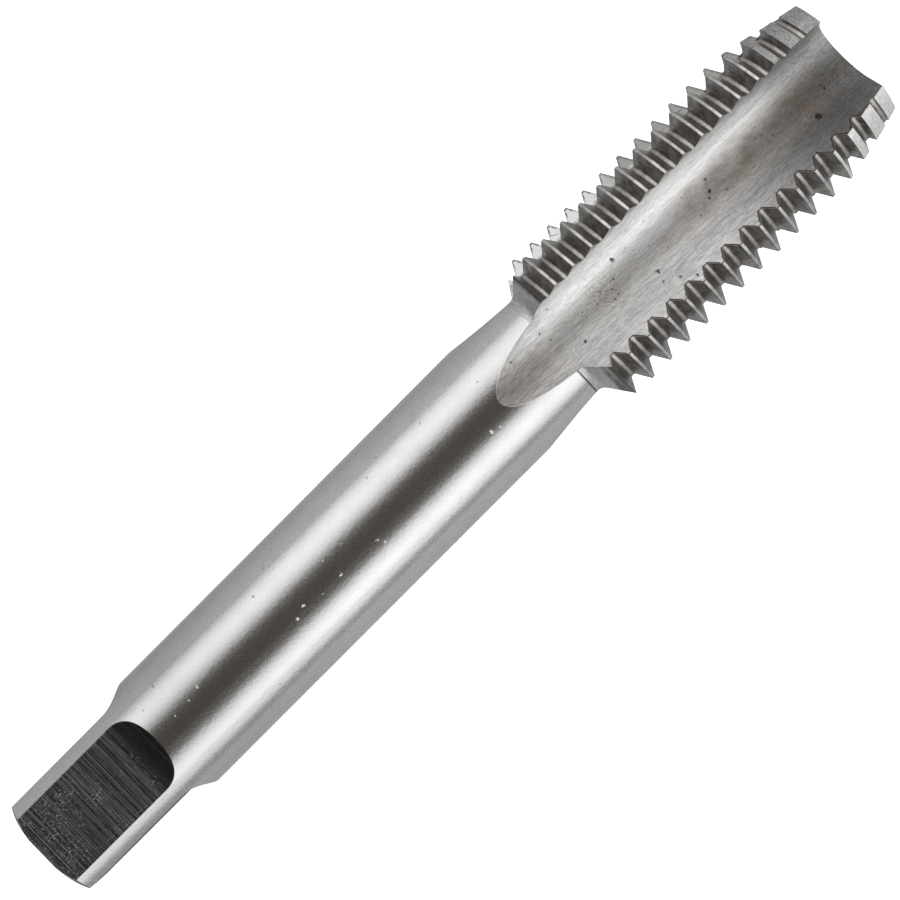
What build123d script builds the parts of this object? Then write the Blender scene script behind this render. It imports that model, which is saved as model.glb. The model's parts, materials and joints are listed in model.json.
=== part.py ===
# A hand tap for cutting M20 x 2.5 right-hand threads, turned, milled and ground from one bar of tool steel.
# It is drawn along +X, from the square end at x = 0 to the cutting end at x = length, with the plane of one
# flute's grinding wheel upright at the top. Then it is laid on the bench as it comes to rest: on the back of its
# round shank, just ahead of the square, and on the edges of the two lowest lands.
from build123d import *

import os
from math import asin, atan, atan2, cos, degrees, radians, sin, sqrt, tan

# Whole tool
length = 111.3
shank_radius = 7.0

# Square for the tap wrench
square_across_flats = 11.2
flat_length = 13.4
flat_cutter_radius = 4.0
square_roll = -11.1  # how far round from the flute wheel's plane the square is milled, in degrees

# End of the square: a turned chamfer, very slightly crowned
end_face_radius = 5.9
end_chamfer_length = 0.7
end_chamfer_crown = 0.03

# Flare from the shank up to the thread
flare_start = 71.65  # where the cone would meet the shank, without its fillet
flare_angle = 55.0
flare_fillet = 1.1

# Thread
thread_radius = 10.0
pitch = 2.5
root_radius = 8.467
crest_width = pitch / 8
flank_angle = 30.0
crest_at_top = 85.57  # where one crest of the helix crosses the top of the tool

# Cutting end: a long, slightly crowned cone leads the teeth in
lead_start = 103.2
lead_crown = 0.12
tip_radius = 8.23

# Flutes: angles are measured from the plane of the grinding wheel, towards the heel side
flute_count = 4
cutting_edge_angle = -32.5
heel_edge_angle = 28.4
cutting_face_lean = 16.0
cutting_face_fillet = 2.4
flute_floor_radius = 4.6
flute_floor_depth = 3.5  # from the tool's axis up to the deepest line of the floor
flute_floor_offset = 1.24  # of that line, and so of the wheel, from the tool's axis towards the cutting face
flute_full_depth = 81.6  # from here to the tip the floor is straight
flute_wheel_radius = 50.0
flute_profile_top = 11.5

# Centre holes, in which the tool was held between centres
centre_mouth_radius = 2.1
centre_pilot_radius = 1.0
centre_cone_angle = 30.0
centre_pilot_depth = 4.4

flare_end = flare_start + (thread_radius - shank_radius) / tan(radians(flare_angle))
centre_cone_depth = (centre_mouth_radius - centre_pilot_radius) / tan(radians(centre_cone_angle))
run_out_height = flat_cutter_radius - (shank_radius - square_across_flats / 2)
square_end = flat_length + sqrt(flat_cutter_radius**2 - run_out_height**2)
flute_width_angle = heel_edge_angle - cutting_edge_angle
flute_middle_angle = (heel_edge_angle + cutting_edge_angle) / 2


def turned_blank():
    """The bar as it leaves the lathe, with a centre hole in each end."""
    rear_hole = Polyline(
        (length / 2, 0),
        (centre_pilot_depth, 0),
        (centre_pilot_depth, centre_pilot_radius),
        (centre_cone_depth, centre_pilot_radius),
        (0, centre_mouth_radius),
        (0, end_face_radius),
    )
    end_chamfer = SagittaArc((0, end_face_radius), (end_chamfer_length, shank_radius), end_chamfer_crown)
    body = Polyline(
        (end_chamfer_length, shank_radius),
        (flare_start, shank_radius),
        (flare_end, thread_radius),
        (lead_start, thread_radius),
    )
    lead = SagittaArc((lead_start, thread_radius), (length, tip_radius), lead_crown)
    tip_hole = Polyline(
        (length, tip_radius),
        (length, centre_mouth_radius),
        (length - centre_cone_depth, centre_pilot_radius),
        (length - centre_pilot_depth, centre_pilot_radius),
        (length - centre_pilot_depth, 0),
        (length / 2, 0),
    )
    section = make_face(rear_hole + end_chamfer + body + lead + tip_hole)
    flare_corner = section.vertices().sort_by_distance((flare_start, shank_radius, 0))[0]
    section = fillet(flare_corner, flare_fillet)
    return revolve(Plane.XZ * section, Axis.X)


def thread_groove(swept_angle):
    """The V between two crests over one land, at x = 0, with its middle at the bottom of the tool."""
    mouth_radius = thread_radius + 0.2
    crest_gap = pitch - crest_width
    slope = tan(radians(flank_angle))
    root_width = crest_gap - 2 * (thread_radius - root_radius) * slope
    mouth_width = crest_gap + 2 * (mouth_radius - thread_radius) * slope
    outline = Polyline(
        (root_radius, -root_width / 2),
        (mouth_radius, -mouth_width / 2),
        (mouth_radius, mouth_width / 2),
        (root_radius, root_width / 2),
        close=True,
    )
    rise = pitch * swept_angle / 360
    path = Helix(pitch, rise, root_radius)
    groove = sweep(Plane.XZ * make_face(outline), path=path, is_frenet=True)
    return Rot(Y=90) * Rot(Z=-swept_angle / 2) * Pos(0, 0, -rise / 2) * groove


def thread_grooves():
    """The grooves of one helix, cut land by land."""
    land_step = 360 / flute_count
    groove = thread_groove(land_step - flute_width_angle + 18)
    grooves = []
    for land in range(flute_count):
        turn = flute_middle_angle + land_step * (land + 0.5)
        x = crest_at_top + pitch * (turn / 360 + 0.5)
        while x - pitch > flare_end - pitch / 4:
            x -= pitch
        while x < length:
            grooves.append(Pos(x, 0, 0) * Rot(X=turn - 180) * groove)
            x += pitch
    return grooves


def flute_section():
    """Across one flute: a hooked cutting face, a fillet, a round floor, and a heel that leaves it at a tangent."""
    cutting_edge = thread_radius * Vector(-sin(radians(cutting_edge_angle)), cos(radians(cutting_edge_angle)))
    heel_edge = thread_radius * Vector(-sin(radians(heel_edge_angle)), cos(radians(heel_edge_angle)))
    floor_center = Vector(flute_floor_offset, flute_floor_depth + flute_floor_radius)

    # The cutting face is a straight line that leans in as it goes down, until it meets the floor's circle.
    down_face = Vector(-sin(radians(cutting_face_lean)), -cos(radians(cutting_face_lean)))
    to_middle = (floor_center - cutting_edge).dot(down_face)
    off_line = (cutting_edge + down_face * to_middle - floor_center).length
    face_foot = cutting_edge + down_face * (to_middle + sqrt(flute_floor_radius**2 - off_line**2))
    face_top = cutting_edge - down_face * (flute_profile_top - cutting_edge.Y) / cos(radians(cutting_face_lean))

    # The heel is the tangent from its edge to the same circle.
    to_edge = heel_edge - floor_center
    lean = atan2(-to_edge.X, to_edge.Y) - asin(flute_floor_radius / to_edge.length)
    heel_foot = floor_center - flute_floor_radius * Vector(cos(lean), sin(lean))
    heel_top = heel_foot + Vector(-tan(lean), 1) * (flute_profile_top - heel_foot.Y)

    floor_bottom = floor_center - Vector(0, flute_floor_radius)
    section = make_face(
        Line(heel_top, face_top)
        + Line(face_top, face_foot)
        + ThreePointArc(face_foot, floor_bottom, heel_foot)
        + Line(heel_foot, heel_top)
    )
    corner = section.vertices().sort_by_distance(face_foot)[0]
    return fillet(corner, cutting_face_fillet)


def flute_cutter():
    """One flute, straight up to the tip, and at its other end hollowed by the wheel as it is lifted out."""
    section = Plane.YZ.offset(flute_full_depth) * flute_section()
    wheel_center = (flute_full_depth, 0, flute_floor_depth + flute_wheel_radius)
    straight = extrude(section, length + 1 - flute_full_depth, dir=(1, 0, 0))
    run_out = revolve(section, Axis(wheel_center, (0, 1, 0)), 30)
    return straight + run_out


def flat_cutter():
    """One flat of the square, with the hollow that the milling cutter leaves where it stops."""
    start = -1.0
    flat_z = square_across_flats / 2
    width = 4 * shank_radius
    block = Pos((start + flat_length) / 2, 0, flat_z + flat_cutter_radius / 2) * Box(
        flat_length - start, width, flat_cutter_radius
    )
    cutter = Pos(flat_length, 0, flat_z + flat_cutter_radius) * Rot(X=90) * Cylinder(flat_cutter_radius, width)
    return block + cutter


def lay_down(tool):
    """Roll a flute upright, tip the tool up by the difference between its supports, and set it on the bench."""
    land_height = thread_radius * cos(radians(flute_width_angle / 2))
    rest_tilt = degrees(atan((land_height - shank_radius) / (flare_end - square_end)))
    tipped = Rot(Y=-rest_tilt) * Rot(X=-flute_middle_angle) * tool
    box = tipped.bounding_box()
    middle = box.center()
    return Pos(-middle.X, -middle.Y, -box.min.Z) * tipped


tap = turned_blank()
tap -= thread_grooves()
flute = flute_cutter()
flat = flat_cutter()
for turn in range(flute_count):
    tap -= Rot(X=turn * 360 / flute_count) * flute
for turn in range(4):
    tap -= Rot(X=square_roll + turn * 90) * flat
tap = lay_down(tap)

os.makedirs("parts", exist_ok=True)
export_step(tap, "parts/tap.step")
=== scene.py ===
import json
from math import cos, pi, radians, sin, tan

import bmesh
import bpy
from mathutils import Matrix, Vector

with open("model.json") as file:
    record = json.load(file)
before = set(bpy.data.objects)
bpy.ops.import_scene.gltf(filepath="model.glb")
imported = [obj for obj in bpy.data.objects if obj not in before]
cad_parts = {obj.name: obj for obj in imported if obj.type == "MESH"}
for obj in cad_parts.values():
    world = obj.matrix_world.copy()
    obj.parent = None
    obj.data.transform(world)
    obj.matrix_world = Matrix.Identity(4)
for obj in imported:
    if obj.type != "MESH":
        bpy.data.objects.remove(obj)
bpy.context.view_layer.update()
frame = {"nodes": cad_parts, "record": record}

# The tool's own frame, in which every finish is laid out: x runs along the axis from the square's end face,
# z is up through the middle of the top flute, and lengths are in millimetres.
MM = 0.001
MOUNTS = {mount["name"]: mount for mount in frame["record"]["mounts"]}
AXIS = -Vector(MOUNTS["shank"]["axis"]).normalized()
SHANK_MIDDLE = Vector(MOUNTS["shank"]["pos_m"])
START = SHANK_MIDDLE - AXIS * AXIS.dot(SHANK_MIDDLE - Vector(MOUNTS["square_end_face"]["pos_m"]))
ACROSS = Vector((0, 1, 0))
UP = AXIS.cross(ACROSS)

# The turned shape, as in the solid
LENGTH = 111.3
SHANK_RADIUS = 7.0
FLAT_LENGTH = 13.4
FLAT_END = 20.0  # beyond the milled flats, and well short of the flutes
STEP_LINE = 71.05
FLARE_START = 71.65
FLARE_SLOPE = tan(radians(55))
THREAD_START = 72.75
THREAD_RADIUS = 10.0
ROOT_RADIUS = 8.467
PITCH = 2.5
HALF_CREST = PITCH / 16
FLANK_SLOPE = 1 / tan(radians(30))
CREST_AT_TOP = 85.57
WHEEL_TO_FLUTE = -2.05 / 360  # turns from the plane in which the crest was placed to the flute's middle
CUTTING_FACE = -0.0795  # turns from the flute's middle
CUTTING_FACE_FOOT = 8.425  # how far out its finish begins, a little below the grooves
LEAD_START = 103.2
LEAD_CROWN = 0.12
TIP_RADIUS = 8.23
HOLE_RADIUS = 2.1
HOLE_DEPTH = 5.5
END_SKIN = 0.04  # how deep an end face's finish goes

# Marks of use on the upper side: how far along, how far across, and how big
PITS = (
    (105.3, -2.0, 0.42), (81.2, 2.3, 0.28), (84.8, 0.7, 0.12), (83.6, -1.7, 0.22), (84.6, -3.3, 0.18),
    (83.2, -2.6, 0.13), (73.7, -1.4, 0.20), (83.0, 2.3, 0.12), (73.2, 3.6, 0.14), (86.1, 2.8, 0.12),
    (85.8, -4.3, 0.17), (79.2, 0.3, 0.16), (78.2, 0.9, 0.16), (80.0, 0.9, 0.12), (77.1, 0.2, 0.12),
    (92.8, 0.3, 0.22), (92.3, -0.2, 0.15), (93.3, 1.4, 0.20), (107.8, -0.6, 0.20), (67.0, 2.5, 0.14),
)
BRIGHT_NICKS = (
    (45.6, -0.5, 0.16), (46.0, -1.1, 0.11), (40.7, -0.3, 0.14), (38.1, -0.4, 0.14), (35.9, 0.1, 0.18),
    (34.6, -0.4, 0.19), (40.4, 1.9, 0.11), (60.9, -0.9, 0.21), (61.9, -1.1, 0.13), (22.9, 1.9, 0.16),
    (21.4, 1.5, 0.13), (19.4, 1.4, 0.09),
)
DARK_NICKS = (
    (33.0, 4.1, 0.14), (49.1, 4.4, 0.15), (35.5, 5.4, 0.13), (56.5, 4.5, 0.14), (66.7, 2.6, 0.14),
    (19.6, 4.8, 0.14), (63.4, 3.5, 0.16), (63.6, 2.5, 0.12), (17.3, 3.9, 0.12), (28.6, -3.8, 0.10),
    (52.3, -4.2, 0.12),
)
RAGGED = (0.75, 0.85)  # how far the edges of marks wander along and across, in all
POCKED_PATCH = (78.6, 0.4, 3.6)  # where small pits crowd together, and how far out they go

# How far oxide, stains and dirt take the mirror out of a finish, where 1 is all of it
MATT_FLAT = 0.85
MATT_FLUTE = 0.66
MATT_THREAD = 0.15

# Stains, and the colour of the shade painted along the teeth's edges
BROWN_STAIN = (0.215, 0.150, 0.088, 1)
BROWN_FRECKLE = (0.235, 0.190, 0.135, 1)
EDGE_SHADE = (0.036, 0.023, 0.013, 1)

# Camera
CAMERA_TARGET_X = 56.6
CAMERA_DISTANCE = 215.0
CAMERA_LENS = 85.5
CAMERA_SENSOR = 36.0
CAMERA_CLIP_START = 0.01
CAMERA_ROLL_ROUND_TOOL = radians(5.95)
CAMERA_LEAN_TO_TIP = radians(1.8)
TOOL_ANGLE_IN_VIEW = radians(45.08)

# Studio
SOFTBOX_DISTANCE = 0.42
SOFTBOX_LENGTH = 1.1
LEFT_SOFTBOX = (radians(30), radians(88), 2.5)  # from the vertical, to, and how bright in its middle
RIGHT_SOFTBOX = (radians(28.5), radians(82), 2.85)
SOFTBOX_RIM = 0.30  # how bright a softbox still is along its long edges
FLOOR_WIDTH = 6.0
FLOOR_COLOUR = (0.82, 0.82, 0.82, 1)
FLOOR_GLOW = 0.86
MIRRORED_FLOOR_GLOW = 0.12
TENT_WIDTH = 3.0
TENT_HEIGHT = 0.75
TENT_COLOUR = (0.128, 0.113, 0.097, 1)
AIR_GLOW = 0.12  # how much light comes from all round, beside the white that the eye and mirrors see
WHITE = (1, 1, 1, 1)


def turned_to(x_axis, y_axis, z_axis):
    """The turn that lays x, y and z along these three directions."""
    return Matrix((x_axis, y_axis, z_axis)).transposed()


class Recipe:
    """A node tree, written as a recipe: each call adds one node and hands back what comes out of it."""

    def __init__(self, holder):
        """Starts an empty tree on a material, a lamp or the world."""
        holder.use_nodes = True
        self.tree = holder.node_tree
        self.tree.nodes.clear()

    def feed(self, socket, value):
        if isinstance(value, bpy.types.NodeSocket):
            self.tree.links.new(value, socket)
        elif value is not None:
            socket.default_value = value

    def add(self, kind, *values, **settings):
        made = self.tree.nodes.new(kind)
        for name, setting in settings.items():
            setattr(made, name, setting)
        for socket, value in zip(made.inputs, values):
            self.feed(socket, value)
        return made

    def work(self, operation, *values):
        return self.add("ShaderNodeMath", *values, operation=operation).outputs[0]

    def plus(self, a, b):
        return self.work("ADD", a, b)

    def minus(self, a, b):
        return self.work("SUBTRACT", a, b)

    def times(self, a, b):
        return self.work("MULTIPLY", a, b)

    def absolute(self, a):
        return self.work("ABSOLUTE", a)

    def either(self, a, b):
        return self.work("MAXIMUM", a, b)

    def lower(self, a, b):
        return self.work("MINIMUM", a, b)

    def opposite(self, mask):
        return self.minus(1.0, mask)

    def rise(self, value, start, end, low=0.0, high=1.0):
        """Goes smoothly from low to high while value goes from start to end."""
        made = self.add("ShaderNodeMapRange", value, start, end, low, high, interpolation_type="SMOOTHSTEP")
        return made.outputs[0]

    def above(self, value, level, blur):
        """1 where value is above the level, with a soft edge of this half width."""
        return self.rise(value, level - blur, level + blur)

    def below(self, value, level, blur):
        return self.rise(value, level + blur, level - blur)

    def place(self, x, y, z):
        return self.add("ShaderNodeCombineXYZ", x, y, z).outputs[0]

    def scaled(self, where, by, moved=0.0):
        scale, move = (by, by, by), (moved, moved, moved)
        return self.add("ShaderNodeVectorMath", where, scale, move, operation="MULTIPLY_ADD").outputs[0]

    def distance(self, a, b):
        return self.add("ShaderNodeVectorMath", a, b, operation="DISTANCE").outputs["Value"]

    def noise(self, where, detail=3.0, roughness=0.55, distortion=0.0):
        made = self.add("ShaderNodeTexNoise", where)
        made.inputs["Scale"].default_value = 1.0
        made.inputs["Detail"].default_value = detail
        made.inputs["Roughness"].default_value = roughness
        made.inputs["Distortion"].default_value = distortion
        return made

    def clouds(self, where, **how):
        return self.noise(where, **how).outputs[0]

    def cells(self, where):
        made = self.add("ShaderNodeTexVoronoi", where)
        made.inputs["Scale"].default_value = 1.0
        return made

    def mix(self, kind, sockets, values):
        made = self.tree.nodes.new("ShaderNodeMix")
        made.data_type = kind
        for socket, value in zip(sockets, values):
            self.feed(made.inputs[socket], value)
        return made

    def blend(self, mask, a, b):
        """From number a where the mask is 0 to number b where it is 1."""
        return self.mix("FLOAT", (0, 2, 3), (mask, a, b)).outputs[0]

    def tint(self, mask, a, b):
        """From colour a where the mask is 0 to colour b where it is 1."""
        return self.mix("RGBA", (0, 6, 7), (mask, a, b)).outputs[2]


def grey(level, warmth=0.0):
    """A steel grey. Warmth takes some blue out of it."""
    return (level, level * (1 - warmth * 0.5), level * (1 - warmth), 1)


def tool_places(r):
    """Where a point is on the tool: along it, out from its axis, round it in turns, and in its own flute."""
    mapping = r.add("ShaderNodeMapping", r.add("ShaderNodeTexCoord").outputs["Object"], vector_type="TEXTURE")
    mapping.inputs["Location"].default_value = START
    mapping.inputs["Rotation"].default_value = turned_to(AXIS, ACROSS, UP).to_euler()
    mapping.inputs["Scale"].default_value = (MM, MM, MM)
    where = mapping.outputs[0]
    along, across, up = r.add("ShaderNodeSeparateXYZ", where).outputs

    out = r.work("SQRT", r.plus(r.times(across, across), r.times(up, up)))
    turn = r.times(r.work("ARCTAN2", r.times(across, -1.0), up), 1 / (2 * pi))
    quarter = r.work("ROUND", r.times(turn, 4.0))
    from_middle = r.minus(turn, r.times(quarter, 0.25))
    beside = r.times(out, r.work("SINE", r.times(from_middle, 2 * pi)))

    from_above = r.place(along, across, 0.0)
    wander = r.noise(r.scaled(where, 4.2), detail=4.0, roughness=0.65).outputs["Color"]
    ragged = r.add("ShaderNodeVectorMath", wander, (*RAGGED, 0.0), from_above, operation="MULTIPLY_ADD")
    return {"all": where, "along": along, "across": across, "up": up, "out": out, "turn": turn,
            "quarter": quarter, "from_middle": from_middle, "beside": beside, "from_above": from_above,
            "ragged": ragged.outputs[0]}


def turned_shape(r, p):
    """How far out the blank and the thread reach there, and how far it is from the nearest crest's middle."""
    coil = r.minus(r.times(r.minus(p["along"], CREST_AT_TOP), 1 / PITCH), r.plus(p["turn"], WHEEL_TO_FLUTE))
    from_crest = r.times(r.absolute(r.minus(r.work("FRACT", r.plus(coil, 0.5)), 0.5)), PITCH)
    drop = r.times(r.either(r.minus(from_crest, HALF_CREST), 0.0), FLANK_SLOPE)
    thread = r.either(r.minus(THREAD_RADIUS, drop), ROOT_RADIUS)

    flare = r.plus(r.times(r.either(r.minus(p["along"], FLARE_START), 0.0), FLARE_SLOPE), SHANK_RADIUS)
    share = r.either(r.times(r.minus(p["along"], LEAD_START), 1 / (LENGTH - LEAD_START)), 0.0)
    crown = r.times(r.times(share, r.opposite(share)), 4 * LEAD_CROWN)
    lead = r.plus(r.minus(THREAD_RADIUS, r.times(share, THREAD_RADIUS - TIP_RADIUS)), crown)
    blank = r.lower(flare, lead)
    return {"surface": r.lower(thread, blank), "over": r.minus(thread, blank), "from_crest": from_crest}


def zones(r, p, shape):
    """Masks for the finishes, each 1 on its own surface, and how deep below the turned shape a point is."""
    depth = r.minus(shape["surface"], p["out"])
    fine_edge = r.rise(p["along"], STEP_LINE + 1.5, STEP_LINE)
    cut = r.above(r.plus(depth, r.times(fine_edge, 0.05)), 0.08, 0.02)
    land = r.opposite(cut)
    past_foot = r.above(p["out"], CUTTING_FACE_FOOT, 0.075)
    cutting_face = r.times(r.below(p["from_middle"], CUTTING_FACE, 0.0015), past_foot)
    past_flats = r.above(p["along"], FLAT_END, 0.5)
    past_step = r.above(p["along"], STEP_LINE, 0.03)
    in_thread = r.above(p["along"], THREAD_START, 0.15)
    past_crest = r.above(shape["from_crest"], 0.205, 0.035)
    short_of_root = r.below(shape["from_crest"], 1.02, 0.04)
    lead_cut = r.times(r.rise(shape["over"], 0.0, 0.03), r.above(p["along"], LEAD_START - 0.1, 0.2))
    end = r.either(r.below(p["along"], END_SKIN, 0.02), r.above(p["along"], LENGTH - END_SKIN, 0.02))
    in_hole = r.either(r.below(p["along"], HOLE_DEPTH, 0.5), r.above(p["along"], LENGTH - HOLE_DEPTH, 0.5))
    return {
        "depth": depth,
        "flat": r.times(cut, r.opposite(past_flats)),
        "flute": r.times(cut, past_flats),
        "cutting_face": cutting_face,
        "land": land,
        "thread": r.times(land, in_thread),
        "neck": r.times(r.times(land, past_step), r.opposite(in_thread)),
        "flank": r.times(past_crest, short_of_root),
        "lead": r.times(lead_cut, land),
        "end": end,
        "hole": r.times(r.below(p["out"], HOLE_RADIUS, 0.04), in_hole),
    }


def round_tool(r, p, fineness_along, fineness_round, **how):
    """Clouds that are drawn out round the tool."""
    across = r.times(p["across"], fineness_round)
    up = r.times(p["up"], fineness_round)
    return r.clouds(r.place(r.times(p["along"], fineness_along), across, up), **how)


def dents(r, p, spacing, size, seed):
    """Sparse small dents: 1 in a dent, and 0 between them."""
    where = r.scaled(p["all"], 1 / spacing, seed)
    found = r.cells(where)
    chosen = r.rise(r.add("ShaderNodeSeparateColor", found.outputs["Color"]).outputs[0], 0.66, 0.72)
    ragged = r.times(r.minus(r.clouds(r.scaled(where, 9.0)), 0.5), 0.16)
    return r.times(r.rise(r.plus(found.outputs["Distance"], ragged), size, size * 0.45), chosen)


def hairlines(r, along, across, length, width, seed, rarity):
    """Fine scratches, stretched along the first direction."""
    where = r.place(r.plus(r.times(along, 1 / length), seed), r.times(across, 1 / width), seed * 1.7)
    return r.rise(r.clouds(where, detail=2.0, distortion=0.4), rarity, rarity + 0.06)


def marks(r, p, places):
    """Single marks on the upper side: each place is how far along, how far across, and how big."""
    found = 0.0
    for along, across, size in places:
        middle = (along + RAGGED[0] / 2, across + RAGGED[1] / 2, 0.0)
        found = r.either(found, r.rise(r.distance(p["ragged"], middle), size, size * 0.55))
    return r.times(found, r.rise(p["up"], 0.0, 0.5))


def ground_shank(r, p, zone):
    """Cylindrical grinding: the wheel's fine lines run round the shank, and use has nicked it."""
    lines = round_tool(r, p, 8.5, 2.6, roughness=0.6)
    mottle = r.clouds(r.scaled(p["all"], 0.5))
    colour = r.tint(lines, grey(0.305), grey(0.425, 0.01))
    colour = r.tint(r.rise(mottle, 0.35, 0.75, 0.0, 0.2), colour, grey(0.27, 0.03))
    towards_square = r.rise(p["along"], 42.0, 18.0, 0.0, 0.35)
    colour = r.tint(towards_square, colour, grey(0.24, 0.03))
    bright = r.times(marks(r, p, BRIGHT_NICKS), zone["land"])
    dark = r.times(r.either(marks(r, p, DARK_NICKS), r.times(dents(r, p, 3.1, 0.05, 7.0), 0.7)), zone["land"])
    colour = r.tint(r.times(bright, 0.9), colour, grey(0.85))
    colour = r.tint(r.times(dark, 0.75), colour, grey(0.10, 0.05))
    rough = r.blend(bright, r.plus(0.20, r.times(lines, 0.14)), 0.75)
    grain = r.clouds(r.scaled(p["all"], 2.8, 19.0), detail=2.0, roughness=0.6)
    relief = r.plus(r.times(lines, 0.0014), r.times(grain, 0.011))
    return colour, rough, relief


def turned_neck(r, p):
    """Neck and flare as the lathe left them, a little coarser than the ground shank."""
    speckle = r.clouds(r.scaled(p["all"], 4.5), detail=4.0, roughness=0.7)
    turning = round_tool(r, p, 9.0, 1.5, detail=2.0)
    both = r.plus(r.times(speckle, 0.6), r.times(turning, 0.4))
    return r.tint(r.rise(both, 0.3, 0.7), grey(0.22, 0.02), grey(0.42, 0.02)), 0.40, r.times(both, 0.006)


def thread(r, p, shape):
    """Dark flanks, with the crests and the bottoms of the grooves rubbed bright."""
    smudge = r.clouds(r.scaled(p["all"], 1.1), detail=4.0, roughness=0.62)
    speckle = r.clouds(r.scaled(p["all"], 5.0), detail=4.0, roughness=0.7)
    drawn = r.clouds(r.place(r.times(shape["from_crest"], 7.0), r.times(p["turn"], 9.0), 3.0), detail=2.0)
    patches = r.plus(r.times(smudge, 0.7), r.times(drawn, 0.3))
    flank = r.tint(r.rise(patches, 0.38, 0.62), grey(0.12, 0.14), grey(0.25, 0.07))
    worn = r.plus(shape["from_crest"], r.times(r.minus(speckle, 0.5), 0.10))
    crest = r.times(r.rise(worn, 0.165, 0.09), r.rise(smudge, 0.36, 0.60, 0.50, 1.0))
    root = r.times(r.rise(worn, 1.12, 1.20), r.rise(drawn, 0.35, 0.65, 0.25, 0.85))
    bare = r.either(crest, root)
    colour = r.tint(bare, flank, r.tint(speckle, grey(0.22, 0.03), grey(0.48, 0.02)))

    # Where the thread runs out at the flare, dirt has stayed beside its first crest
    beside_crest = r.times(r.rise(shape["over"], 0.02, 0.08), r.rise(shape["over"], 1.0, 0.5))
    first_turn = r.rise(p["along"], 78.0, 76.0, 0.0, 0.9)
    colour = r.tint(r.times(beside_crest, first_turn), colour, grey(0.03, 0.1))
    return colour, r.blend(bare, 0.40, 0.34), r.times(speckle, 0.004)


def lead_teeth(r, p):
    """The cone that was ground on the first teeth, speckled by use, and more tarnished on one side."""
    speckle = round_tool(r, p, 6.0, 2.6, detail=5.0, roughness=0.72)
    spots = r.rise(r.clouds(r.scaled(p["all"], 2.3, 5.0), detail=3.0), 0.62, 0.72)
    tarnish = r.rise(p["across"], -3.5, 3.0)
    bare = r.tint(r.rise(speckle, 0.32, 0.68), grey(0.40, 0.02), grey(0.60, 0.01))
    tarnished = r.tint(r.rise(speckle, 0.34, 0.66), grey(0.15, 0.04), grey(0.29, 0.02))
    colour = r.tint(tarnish, bare, tarnished)
    spotted = r.tint(r.times(spots, r.plus(0.2, r.times(tarnish, 0.45))), colour, grey(0.10, 0.08))
    return spotted, 0.42, r.times(speckle, 0.008)


def flute_grinding(r, p):
    """The wheel's streaks, a little aslant and different in each flute, and where stains and dullness go."""
    aslant = r.minus(p["beside"], r.times(p["along"], 0.06))
    lane = r.times(p["quarter"], 13.7)
    broad = r.clouds(r.place(r.times(p["along"], 0.16), r.times(aslant, 2.2), lane), roughness=0.6)
    fine = r.clouds(r.place(r.times(p["along"], 0.65), r.times(aslant, 6.5), lane), detail=4.0, roughness=0.8)
    grains = r.clouds(r.scaled(p["all"], 4.2), detail=4.0, roughness=0.75)
    blotch_place = r.place(r.times(p["along"], 0.20), r.times(p["beside"], 0.50), lane)
    return {
        "aslant": aslant,
        "fine": fine,
        "grains": grains,
        "streaks": r.plus(r.times(broad, 0.18), r.plus(r.times(fine, 0.60), r.times(grains, 0.22))),
        "blotch": r.clouds(blotch_place, detail=4.0, distortion=0.5),
        "middle": r.rise(r.absolute(r.plus(p["beside"], 0.3)), 3.2, 0.5),
        "towards_tip": r.rise(p["along"], 88.0, 109.5),
    }


def flute_steel(r, p, ground):
    """Streaked steel with a painted highlight in a band on the cutting-face side, darker where the flute runs
    out and dull towards the tip.
    """
    streaked = r.rise(ground["streaks"], 0.42, 0.58)
    from_shank = r.rise(p["along"], 65.0, 78.0)
    # A highlight painted into the colour, in a band on the cutting-face side of each flute, fading towards
    # the tip.
    highlight_band = r.times(r.rise(p["beside"], -4.8, -3.6), r.rise(p["beside"], 0.9, -1.9))
    start = r.tint(streaked, grey(0.20, 0.03), grey(0.40, 0.02))
    clean = r.tint(streaked, grey(0.42, 0.02), grey(0.70, 0.01))
    brightened = r.tint(streaked, grey(0.72, 0.01), grey(1.0, 0.01))
    highlight_fade = r.rise(p["along"], 111.0, 99.0, 0.1, 0.95)
    colour = r.tint(from_shank, start, clean)
    colour = r.tint(r.times(r.times(highlight_band, from_shank), highlight_fade), colour, brightened)

    tarnish = r.rise(r.plus(r.times(ground["fine"], 0.45), r.times(ground["grains"], 0.55)), 0.38, 0.62)
    dull = r.tint(tarnish, grey(0.075, 0.06), grey(0.20, 0.04))
    # The painted highlight is partly spared from the dullness towards the tip.
    highlight_kept = r.times(highlight_band, r.rise(p["along"], 106.0, 99.5, 0.36, 0.80))
    colour = r.tint(r.times(ground["towards_tip"], r.opposite(highlight_kept)), colour, dull)
    heel_side = r.rise(p["beside"], -0.6, 2.4)
    dull_heel = r.times(heel_side, r.plus(0.06, r.times(ground["towards_tip"], 0.52)))
    return r.tint(dull_heel, colour, r.tint(ground["fine"], grey(0.03, 0.05), grey(0.13, 0.03)))


def flute_stains(r, p, ground, colour):
    """Brown stains down the middle, most at the run-out and towards the tip."""
    rust = r.clouds(r.scaled(p["all"], 0.60, 31.0), detail=6.0, roughness=0.78)
    rust = r.plus(r.times(rust, 0.70), r.times(ground["fine"], 0.30))
    at_run_out = r.rise(p["along"], 73.0, 69.0, 0.12, 0.34)
    where = r.plus(at_run_out, r.times(r.rise(p["along"], 84.0, 96.0), 0.55))
    brown = r.times(r.times(r.rise(rust, 0.37, 0.65), ground["middle"]), where)
    brown = r.times(brown, r.rise(p["along"], 109.0, 105.5, 0.15, 1.0))
    return r.tint(brown, colour, BROWN_STAIN)


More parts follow.
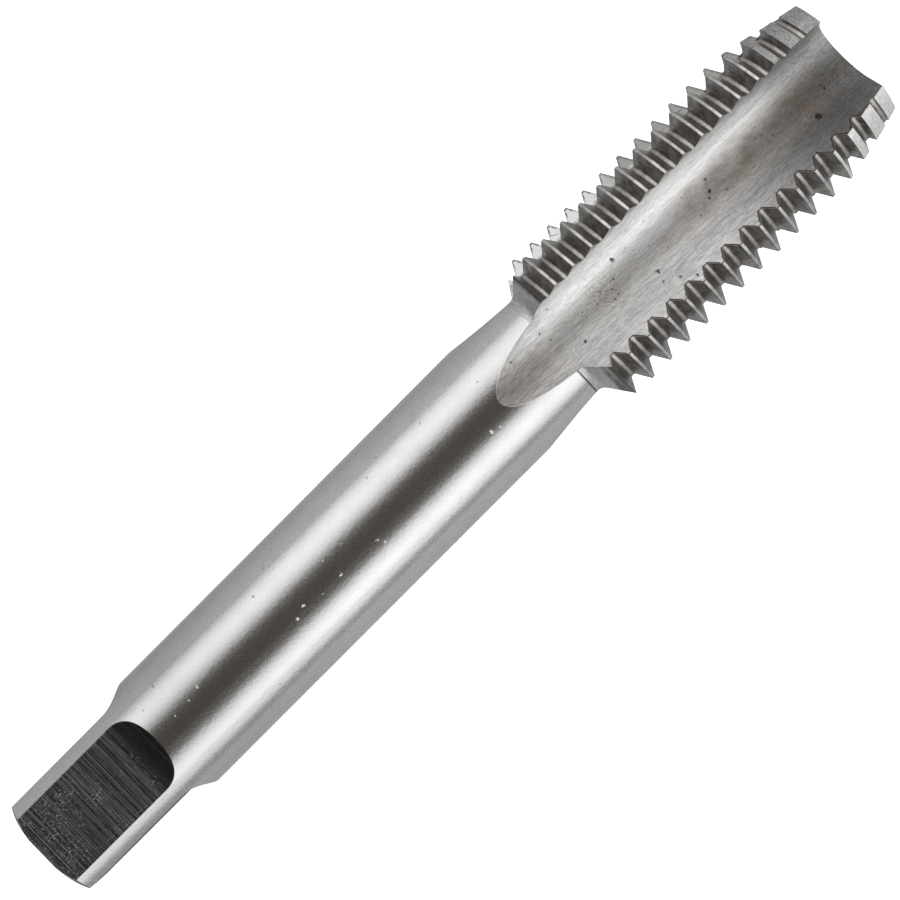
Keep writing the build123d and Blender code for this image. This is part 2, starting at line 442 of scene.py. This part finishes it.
def flute_edges(r, p, zone, ground, colour):
    """Bare cutting faces, with a painted highlight on them near the shank on one side, and a painted shade in
    a dark line along the teeth's edges.
    """
    # A highlight painted onto the cutting faces near the shank, on one side of the tool only.
    highlight_region = r.times(r.rise(p["along"], 89.5, 84.0), r.rise(p["across"], 5.5, 7.0))
    low = r.tint(highlight_region, grey(0.36, 0.03), grey(0.90))
    high = r.tint(highlight_region, grey(0.54, 0.02), grey(1.0))
    colour = r.tint(r.times(zone["cutting_face"], 0.95), colour, r.tint(ground["grains"], low, high))

    # A shade painted as a dark line along the teeth's edges, lighter on the cutting faces.
    edge_depth = r.plus(zone["depth"], r.times(zone["flank"], -0.20))
    edge_line = r.times(r.rise(edge_depth, 0.26, 0.16), r.rise(r.absolute(p["from_middle"]), 0.03, 0.05))
    edge_shade = r.times(edge_line, r.times(r.rise(p["along"], 73.0, 75.0), r.rise(p["along"], 109.5, 107.0)))
    on_face = r.plus(0.35, r.times(highlight_region, 0.4))
    edge_shade = r.times(edge_shade, r.blend(zone["cutting_face"], 0.92, on_face))
    tip_only = r.rise(p["out"], 9.0, 9.5, 0.12, 1.0)
    edge_shade = r.times(edge_shade, r.blend(r.times(zone["cutting_face"], highlight_region), 1.0, tip_only))
    return r.tint(edge_shade, colour, EDGE_SHADE)


def flutes(r, p, zone):
    """Streaks a little aslant from the wheel, stains that deepen towards the cutting end, and pits."""
    ground = flute_grinding(r, p)
    colour = flute_steel(r, p, ground)
    colour = flute_stains(r, p, ground, colour)
    crosswise = hairlines(r, p["beside"], p["along"], 0.9, 0.12, 9.0, 0.685)
    colour = r.tint(r.times(crosswise, r.times(ground["towards_tip"], 0.4)), colour, grey(0.75))
    colour = flute_edges(r, p, zone, ground, colour)

    patch_along, patch_across, patch_reach = POCKED_PATCH
    from_patch = r.distance(p["from_above"], (patch_along, patch_across, 0.0))
    blotched = r.times(r.rise(ground["blotch"], 0.42, 0.58), r.times(ground["middle"], 0.75))
    pocked = r.either(blotched, r.rise(from_patch, patch_reach, 0.8))
    short_of_tip = r.rise(p["along"], 100.0, 90.0, 0.15, 0.6)
    freckles = r.times(r.rise(ground["grains"], 0.50, 0.58), r.times(pocked, short_of_tip))
    colour = r.tint(freckles, colour, BROWN_FRECKLE)

    single_pits = r.either(dents(r, p, 2.1, 0.07, 4.0), marks(r, p, PITS))
    pits = r.either(r.times(dents(r, p, 0.62, 0.24, 4.0), r.times(pocked, 0.8)), single_pits)
    scratches = r.times(hairlines(r, p["along"], ground["aslant"], 1.8, 0.13, 5.0, 0.67), 0.45)
    colour = r.tint(r.either(r.times(pits, 0.9), scratches), colour, grey(0.035, 0.3))
    rough = r.blend(pits, r.plus(0.36, r.times(ground["streaks"], 0.16)), 0.95)
    return colour, rough, r.times(ground["streaks"], 0.012)


def milled_square(r, p):
    """Black from the furnace, with the milling cutter's ridges across it, and scuffed by wrenches."""
    ridges = round_tool(r, p, 9.0, 0.02, detail=2.0, roughness=0.7)
    broken = round_tool(r, p, 9.0, 0.5, detail=3.0, roughness=0.7)
    lines = r.plus(r.times(ridges, 0.74), r.times(broken, 0.26))
    straight = r.rise(p["along"], FLAT_LENGTH + 0.9, FLAT_LENGTH - 1.0)
    ridged = r.times(r.rise(lines, 0.45, 0.60), r.plus(0.2, r.times(straight, 0.8)))
    colour = r.tint(ridged, grey(0.004, 0.05), grey(0.105, 0.05))

    rubbed_area = r.clouds(r.scaled(p["all"], 0.42, 3.0), detail=2.0)
    towards_end = r.rise(p["along"], 8.0, 0.3)
    brightened = r.rise(r.plus(rubbed_area, r.times(towards_end, 0.16)), 0.52, 0.68)
    specks = r.rise(r.clouds(r.scaled(p["all"], 6.5, 9.0), detail=3.0, roughness=0.75), 0.58, 0.66)
    arc = r.times(p["turn"], 2 * pi * SHANK_RADIUS)
    lengthwise = hairlines(r, r.plus(p["along"], r.times(arc, 0.3)), arc, 2.2, 0.09, 3.1, 0.69)
    scuffs = r.either(r.times(specks, r.plus(0.12, r.times(brightened, 0.88))), r.times(lengthwise, 0.35))
    colour = r.tint(r.times(scuffs, straight), colour, grey(0.42, 0.05))
    return colour, 0.48, r.times(r.times(lines, straight), 0.032)


def turned_ends(r, p, zone):
    """End faces, turned, with the centre holes dark inside."""
    rings = r.clouds(r.place(r.times(p["out"], 6.0), 0.0, 2.0))
    cloud = r.clouds(r.scaled(p["all"], 1.3), detail=4.0)
    colour = r.tint(rings, grey(0.15, 0.05), grey(0.32, 0.03))
    colour = r.tint(r.rise(cloud, 0.45, 0.7, 0.0, 0.4), colour, grey(0.07, 0.15))
    return r.tint(r.times(zone["hole"], 0.8), colour, grey(0.045, 0.12)), 0.42, r.times(rings, 0.010)


def step_line(r, p, zone):
    """The fine line round the neck where the ground shank stops, ground away towards one side."""
    left_standing = r.rise(p["across"], 2.0, -4.0, 0.12, 1.0)
    line = r.times(r.rise(r.absolute(r.minus(p["along"], STEP_LINE)), 0.12, 0.05), zone["land"])
    return r.times(line, left_standing)


def tool_steel():
    """Tool steel in each of the finishes that the tap was given, from square to cutting end.

    Each finish gives its colour, how rough it is, and its relief in millimetres.
    """
    made = bpy.data.materials.new("tool_steel")
    r = Recipe(made)
    p = tool_places(r)
    shape = turned_shape(r, p)
    zone = zones(r, p, shape)

    colour, rough, relief = ground_shank(r, p, zone)
    layers = (
        (zone["neck"], turned_neck(r, p)),
        (zone["thread"], thread(r, p, shape)),
        (zone["lead"], lead_teeth(r, p)),
        (zone["flute"], flutes(r, p, zone)),
        (zone["flat"], milled_square(r, p)),
        (r.either(zone["end"], zone["hole"]), turned_ends(r, p, zone)),
    )
    for mask, (layer_colour, layer_rough, layer_relief) in layers:
        colour = r.tint(mask, colour, layer_colour)
        rough = r.blend(mask, rough, layer_rough)
        relief = r.blend(mask, relief, layer_relief)
    line = step_line(r, p, zone)
    colour = r.tint(r.times(line, 0.85), colour, grey(0.035, 0.1))
    relief = r.minus(relief, r.times(line, 0.03))

    # The cutting faces stay bare in the matt flutes
    matt_flute = r.times(zone["flute"], r.blend(zone["cutting_face"], MATT_FLUTE, 0.0))
    matt_thread = r.times(zone["thread"], MATT_THREAD)
    matt = r.either(r.times(zone["flat"], MATT_FLAT), r.either(matt_flute, matt_thread))
    shine = r.rise(p["along"], FLAT_LENGTH - 1.0, FLAT_LENGTH + 1.6, 0.28, 0.10)

    bump = r.add("ShaderNodeBump")
    bump.inputs["Distance"].default_value = MM
    bump.inputs["Strength"].default_value = 1.0
    r.feed(bump.inputs["Height"], relief)
    steel = r.add("ShaderNodeBsdfPrincipled")
    r.feed(steel.inputs["Base Color"], colour)
    r.feed(steel.inputs["Roughness"], rough)
    r.feed(steel.inputs["Metallic"], r.opposite(matt))
    r.feed(steel.inputs["Specular IOR Level"], shine)
    r.feed(steel.inputs["Normal"], bump.outputs["Normal"])
    r.add("ShaderNodeOutputMaterial", steel.outputs[0])
    return made


def seen(r, by_eye=1.0, in_mirrors=1.0):
    """One number for what the camera sees, one for what metal and glass show, and 0 for light on its way."""
    path = r.add("ShaderNodeLightPath").outputs
    mirrored = r.either(path["Is Glossy Ray"], path["Is Transmission Ray"])
    return r.either(r.times(path["Is Camera Ray"], by_eye), r.times(mirrored, in_mirrors))


def floor_paper():
    """White paper that glows a little to the eye, so that it reads as white and still takes the shadow."""
    made = bpy.data.materials.new("floor_paper")
    r = Recipe(made)
    paper = r.add("ShaderNodeBsdfDiffuse", FLOOR_COLOUR)
    glow = r.add("ShaderNodeEmission", WHITE, seen(r, FLOOR_GLOW, MIRRORED_FLOOR_GLOW))
    both = r.add("ShaderNodeAddShader", paper.outputs[0], glow.outputs[0])
    r.add("ShaderNodeOutputMaterial", both.outputs[0])
    return made


def tent_cloth():
    """The dim cloth round the set, which the ground steel mirrors as its dark bands."""
    made = bpy.data.materials.new("tent_cloth")
    r = Recipe(made)
    r.add("ShaderNodeOutputMaterial", r.add("ShaderNodeEmission", TENT_COLOUR, 1.0).outputs[0])
    return made


def studio_piece(name, form, material):
    """A piece of the studio, which isn't part of the tool."""
    mesh = bpy.data.meshes.new(name)
    form.to_mesh(mesh)
    form.free()
    mesh.materials.append(material)
    made = bpy.data.objects.new(name, mesh)
    bpy.context.scene.collection.objects.link(made)
    return made


def make_floor():
    sheet = bmesh.new()
    bmesh.ops.create_grid(sheet, x_segments=1, y_segments=1, size=FLOOR_WIDTH / 2)
    studio_piece("floor", sheet, floor_paper())


def make_tent():
    """A low open tent, seen only in the steel."""
    box = bmesh.new()
    bmesh.ops.create_cube(box, size=1)
    bmesh.ops.scale(box, verts=box.verts, vec=(TENT_WIDTH, TENT_WIDTH, TENT_HEIGHT))
    bmesh.ops.translate(box, verts=box.verts, vec=(0, 0, TENT_HEIGHT / 2))
    bottom = min(box.faces, key=lambda face: face.calc_center_median().z)
    bmesh.ops.delete(box, geom=[bottom], context="FACES")
    tent = studio_piece("tent", box, tent_cloth())
    tent.visible_camera = False
    tent.visible_diffuse = False
    tent.visible_shadow = False


def softbox(name, side, start, end, brightness):
    """A long softbox beside the tool, from one angle off the vertical to another, on side +1 or -1."""
    middle = (start + end) / 2
    width = 2 * SOFTBOX_DISTANCE * tan((end - start) / 2)
    lamp = bpy.data.lights.new(name, "AREA")
    lamp.shape = "RECTANGLE"
    lamp.size = SOFTBOX_LENGTH
    lamp.size_y = width
    lamp.energy = brightness * pi * SOFTBOX_LENGTH * width
    r = Recipe(lamp)
    over = r.add("ShaderNodeSeparateXYZ", r.add("ShaderNodeNewGeometry").outputs["Parametric"]).outputs[1]
    fall = r.blend(r.work("SINE", r.times(over, pi)), SOFTBOX_RIM, 1.0)
    r.add("ShaderNodeOutputLight", r.add("ShaderNodeEmission", WHITE, fall).outputs[0])

    made = bpy.data.objects.new(name, lamp)
    back = Vector((0, side * sin(middle), cos(middle)))
    right = Vector((1, 0, 0))
    turn = turned_to(right, back.cross(right), back)
    made.matrix_world = Matrix.Translation(back * SOFTBOX_DISTANCE) @ turn.to_4x4()
    made.visible_camera = False
    bpy.context.scene.collection.objects.link(made)


def make_studio():
    make_floor()
    make_tent()
    softbox("left_softbox", 1, *LEFT_SOFTBOX)
    softbox("right_softbox", -1, *RIGHT_SOFTBOX)
    world = bpy.data.worlds.new("studio")
    r = Recipe(world)
    air = r.add("ShaderNodeBackground", WHITE, r.blend(seen(r), AIR_GLOW, 1.0))
    r.add("ShaderNodeOutputWorld", air.outputs[0])
    bpy.context.scene.world = world


def make_camera():
    """A long lens almost straight above, with the tool from corner to corner of the view."""
    side = UP * cos(CAMERA_ROLL_ROUND_TOOL) + ACROSS * sin(CAMERA_ROLL_ROUND_TOOL)
    back = side * cos(CAMERA_LEAN_TO_TIP) + AXIS * sin(CAMERA_LEAN_TO_TIP)
    along = (AXIS - back * AXIS.dot(back)).normalized()
    beside = back.cross(along)
    right = along * cos(TOOL_ANGLE_IN_VIEW) - beside * sin(TOOL_ANGLE_IN_VIEW)
    up = along * sin(TOOL_ANGLE_IN_VIEW) + beside * cos(TOOL_ANGLE_IN_VIEW)
    camera = bpy.data.objects.new("camera", bpy.data.cameras.new("camera"))
    camera.data.lens = CAMERA_LENS
    camera.data.sensor_width = CAMERA_SENSOR
    camera.data.clip_start = CAMERA_CLIP_START
    place = START + (AXIS * CAMERA_TARGET_X + back * CAMERA_DISTANCE) * MM
    camera.matrix_world = Matrix.Translation(place) @ turned_to(right, up, back).to_4x4()
    bpy.context.scene.collection.objects.link(camera)
    bpy.context.scene.camera = camera


tap = frame["nodes"]["tap"]
tap.data.materials.clear()
tap.data.materials.append(tool_steel())
make_studio()
make_camera()
bpy.context.scene.view_settings.view_transform = "Standard"
